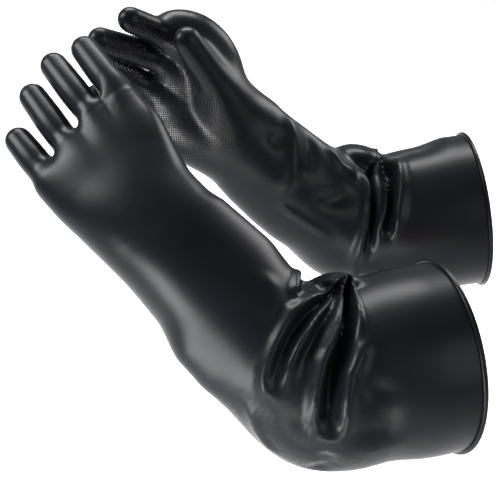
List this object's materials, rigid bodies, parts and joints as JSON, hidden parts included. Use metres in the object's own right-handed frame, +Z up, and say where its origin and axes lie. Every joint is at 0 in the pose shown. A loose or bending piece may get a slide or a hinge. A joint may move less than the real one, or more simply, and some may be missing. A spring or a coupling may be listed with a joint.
{
  "type": "pair of insulating rubber gauntlets",
  "caption": "Pair of long two-ply rubber insulating gloves, black outside and orange inside, worn to the elbow, with rolled cuff beads and a dimpled palm grip.",
  "frame": {"origin": "centre of the left glove's mouth, in the plane of its end", "axes": "+X out of the left glove's mouth along its cuff, +Z up, +Y towards the right glove"},
  "size_m": [0.5161, 0.4454, 0.3374],
  "materials": {
    "outer_rubber": "satin smooth dipped rubber",
    "inner_rubber": "smooth matt rubber",
    "bead_rubber": "satin rolled edge",
    "grip_rubber": "matt raised diamonds"
  },
  "bodies": {
    "left_sleeve": {"left_cuff": "outer_rubber", "left_cuff_lining": "inner_rubber", "left_cuff_bead": "bead_rubber", "left_elbow": "outer_rubber", "left_elbow_lining": "inner_rubber"},
    "left_arm": {"left_forearm": "outer_rubber", "left_forearm_lining": "inner_rubber"},
    "left_palm": {"left_hand": "outer_rubber", "left_hand_lining": "inner_rubber", "left_palm_grip": "grip_rubber"},
    "left_index": {"left_index": "outer_rubber", "left_index_lining": "inner_rubber"},
    "left_middle": {"left_middle": "outer_rubber", "left_middle_lining": "inner_rubber"},
    "left_ring": {"left_ring": "outer_rubber", "left_ring_lining": "inner_rubber"},
    "left_little": {"left_little": "outer_rubber", "left_little_lining": "inner_rubber"},
    "left_thumb": {"left_thumb": "outer_rubber", "left_thumb_lining": "inner_rubber"},
    "right_sleeve": {"right_cuff": "outer_rubber", "right_cuff_lining": "inner_rubber", "right_cuff_bead": "bead_rubber", "right_elbow": "outer_rubber", "right_elbow_lining": "inner_rubber"},
    "right_arm": {"right_forearm": "outer_rubber", "right_forearm_lining": "inner_rubber"},
    "right_palm": {"right_hand": "outer_rubber", "right_hand_lining": "inner_rubber", "right_palm_grip": "grip_rubber"},
    "right_index": {"right_index": "outer_rubber", "right_index_lining": "inner_rubber"},
    "right_middle": {"right_middle": "outer_rubber", "right_middle_lining": "inner_rubber"},
    "right_ring": {"right_ring": "outer_rubber", "right_ring_lining": "inner_rubber"},
    "right_little": {"right_little": "outer_rubber", "right_little_lining": "inner_rubber"},
    "right_thumb": {"right_thumb": "outer_rubber", "right_thumb_lining": "inner_rubber"}
  },
  "joints": [
    {"name": "right_glove_apart", "type": "slide", "parent": "left_sleeve", "child": "right_sleeve", "axis": [0, 1, 0], "range_m": [0, 0.2]},
    {"name": "left_elbow_bend", "type": "hinge", "parent": "left_sleeve", "child": "left_arm", "pos_m": [-0.19754, 0.00122, 0.00142], "axis": [0, -0.7582, 0.652], "range_deg": [0, 40], "stiffness_Nm_per_rad": 6},
    {"name": "left_wrist_bend", "type": "hinge", "parent": "left_arm", "child": "left_palm", "pos_m": [-0.21583, 0.13155, 0.08773], "axis": [-0.7922, -0.1677, -0.5868], "range_deg": [0, 20], "stiffness_Nm_per_rad": 3},
    {"name": "left_index_curl", "type": "hinge", "parent": "left_palm", "child": "left_index", "pos_m": [-0.23737, 0.19869, 0.19057], "axis": [-0.7988, -0.1578, -0.5805], "range_deg": [0, 30], "stiffness_Nm_per_rad": 0.4},
    {"name": "left_middle_curl", "type": "hinge", "parent": "left_palm", "child": "left_middle", "pos_m": [-0.25934, 0.19435, 0.1746], "axis": [-0.7988, -0.1578, -0.5805], "range_deg": [0, 45], "stiffness_Nm_per_rad": 0.4},
    {"name": "left_ring_curl", "type": "hinge", "parent": "left_palm", "child": "left_ring", "pos_m": [-0.28131, 0.19, 0.15864], "axis": [-0.7988, -0.1578, -0.5805], "range_deg": [0, 45], "stiffness_Nm_per_rad": 0.4},
    {"name": "left_little_curl", "type": "hinge", "parent": "left_palm", "child": "left_little", "pos_m": [-0.30328, 0.18566, 0.14268], "axis": [-0.7988, -0.1578, -0.5805], "range_deg": [0, 45], "stiffness_Nm_per_rad": 0.4},
    {"name": "left_thumb_open", "type": "hinge", "parent": "left_palm", "child": "left_thumb", "pos_m": [-0.21013, 0.18581, 0.14232], "axis": [-0.9125, 0.0836, -0.4005], "range_deg": [0, 35], "stiffness_Nm_per_rad": 0.5},
    {"name": "right_elbow_bend", "type": "hinge", "parent": "right_sleeve", "child": "right_arm", "pos_m": [-0.03868, 0.30636, -0.04668], "axis": [-0.1922, -0.9776, -0.0855], "range_deg": [0, 40], "stiffness_Nm_per_rad": 6},
    {"name": "right_wrist_bend", "type": "hinge", "parent": "right_arm", "child": "right_palm", "pos_m": [-0.09653, 0.26172, 0.07983], "axis": [0.6693, -0.1441, 0.7289], "range_deg": [0, 20], "stiffness_Nm_per_rad": 3},
    {"name": "right_index_curl", "type": "hinge", "parent": "right_palm", "child": "right_index", "pos_m": [-0.15638, 0.3094, 0.19444], "axis": [0.5573, -0.1076, 0.8233], "range_deg": [0, 30], "stiffness_Nm_per_rad": 0.4},
    {"name": "right_middle_curl", "type": "hinge", "parent": "right_palm", "child": "right_middle", "pos_m": [-0.17171, 0.31236, 0.17179], "axis": [0.5573, -0.1076, 0.8233], "range_deg": [0, 45], "stiffness_Nm_per_rad": 0.4},
    {"name": "right_ring_curl", "type": "hinge", "parent": "right_palm", "child": "right_ring", "pos_m": [-0.18704, 0.31532, 0.14915], "axis": [0.5573, -0.1076, 0.8233], "range_deg": [0, 45], "stiffness_Nm_per_rad": 0.4},
    {"name": "right_little_curl", "type": "hinge", "parent": "right_palm", "child": "right_little", "pos_m": [-0.20236, 0.31828, 0.12651], "axis": [0.5573, -0.1076, 0.8233], "range_deg": [0, 45], "stiffness_Nm_per_rad": 0.4},
    {"name": "right_thumb_open", "type": "hinge", "parent": "right_palm", "child": "right_thumb", "pos_m": [-0.1352, 0.27156, 0.1651], "axis": [0.7782, -0.1816, 0.6012], "range_deg": [0, 35], "stiffness_Nm_per_rad": 0.5}
  ]
}
